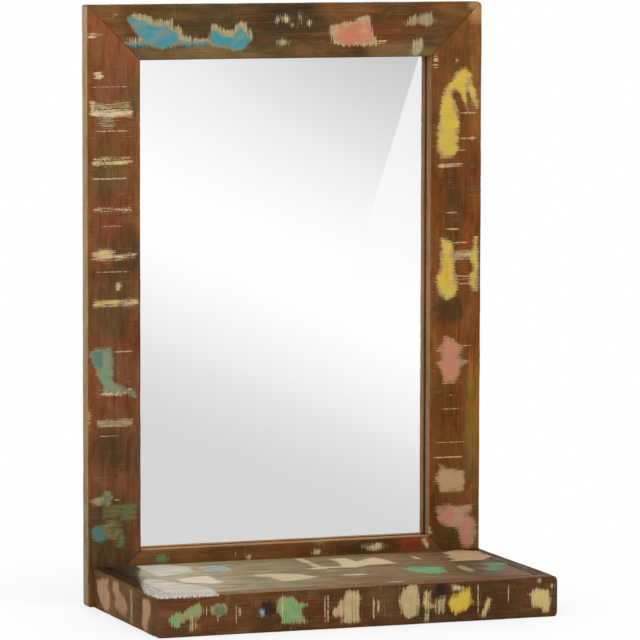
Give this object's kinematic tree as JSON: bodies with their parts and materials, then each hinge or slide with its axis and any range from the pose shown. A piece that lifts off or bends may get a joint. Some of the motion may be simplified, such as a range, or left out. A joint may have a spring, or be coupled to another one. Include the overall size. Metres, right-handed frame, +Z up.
{
  "type": "framed mirror with shelf",
  "caption": "Upright rectangular mirror in a mitred frame of painted reclaimed boards, with a deep box shelf along its foot and D-ring hangers behind.",
  "frame": {"origin": "middle of the footprint, on the ground under the shelf and the frame's bottom edge", "axes": "+Z up along the frame, +X to the viewer's right, the mirror looks towards -Y and the wall is at +Y"},
  "size_m": [0.49, 0.266, 0.7],
  "materials": {
    "red_brown_wood": "semi-gloss varnish over worn paint",
    "warm_brown_wood": "semi-gloss varnish over worn paint",
    "dark_brown_wood": "semi-gloss varnish over worn paint",
    "olive_brown_wood": "semi-gloss varnish over worn paint",
    "bare_timber": "sawn, unfinished",
    "hardboard": "smooth pressed fibre",
    "silvered_glass": "polished, silvered on the back",
    "zinc_plated_steel": "zinc plated",
    "brassed_steel": "brass plated, satin",
    "rubber": "matt black"
  },
  "bodies": {
    "root": {"back_panel": "hardboard", "biscuit_bottom_left": "bare_timber", "biscuit_bottom_right": "bare_timber", "biscuit_top_left": "bare_timber", "biscuit_top_right": "bare_timber", "bottom_rail": "warm_brown_wood", "corner_block_front_left": "bare_timber", "corner_block_front_right": "bare_timber", "corner_block_rear_left": "bare_timber", "corner_block_rear_right": "bare_timber", "hanger_screw_left_1": "brassed_steel", "hanger_screw_left_2": "brassed_steel", "hanger_screw_right_1": "brassed_steel", "hanger_screw_right_2": "brassed_steel", "hanger_strap_left": "brassed_steel", "hanger_strap_right": "brassed_steel", "left_stile": "red_brown_wood", "mirror_glass": "silvered_glass", "plate_screw_bottom_1": "zinc_plated_steel", "plate_screw_left_1": "zinc_plated_steel", "plate_screw_left_2": "zinc_plated_steel", "plate_screw_left_3": "zinc_plated_steel", "plate_screw_right_1": "zinc_plated_steel", "plate_screw_right_2": "zinc_plated_steel", "plate_screw_right_3": "zinc_plated_steel", "plate_screw_top_1": "zinc_plated_steel", "right_stile": "warm_brown_wood", "shelf_front_batten": "bare_timber", "shelf_front_board": "dark_brown_wood", "shelf_front_plank": "warm_brown_wood", "shelf_left_cheek": "olive_brown_wood", "shelf_rear_cleat": "bare_timber", "shelf_rear_plank": "olive_brown_wood", "shelf_right_cheek": "warm_brown_wood", "shelf_screw_1": "zinc_plated_steel", "shelf_screw_2": "zinc_plated_steel", "shelf_screw_3": "zinc_plated_steel", "shelf_screw_4": "zinc_plated_steel", "top_rail": "dark_brown_wood", "turn_plate_bottom_1": "zinc_plated_steel", "turn_plate_left_1": "zinc_plated_steel", "turn_plate_left_2": "zinc_plated_steel", "turn_plate_left_3": "zinc_plated_steel", "turn_plate_right_1": "zinc_plated_steel", "turn_plate_right_2": "zinc_plated_steel", "turn_plate_right_3": "zinc_plated_steel", "turn_plate_top_1": "zinc_plated_steel", "wall_pad_lower_left": "rubber", "wall_pad_lower_right": "rubber", "wall_pad_upper_left": "rubber", "wall_pad_upper_right": "rubber"},
    "left_ring": {"hanger_ring_left": "brassed_steel"},
    "right_ring": {"hanger_ring_right": "brassed_steel"}
  },
  "joints": [
    {"name": "left_ring_hinge", "type": "hinge", "parent": "root", "child": "left_ring", "pos_m": [-0.2125, 0.1297, 0.605], "axis": [1, 0, 0], "range_deg": [0, 180]},
    {"name": "right_ring_hinge", "type": "hinge", "parent": "root", "child": "right_ring", "pos_m": [0.2125, 0.1297, 0.605], "axis": [1, 0, 0], "range_deg": [0, 180]}
  ]
}
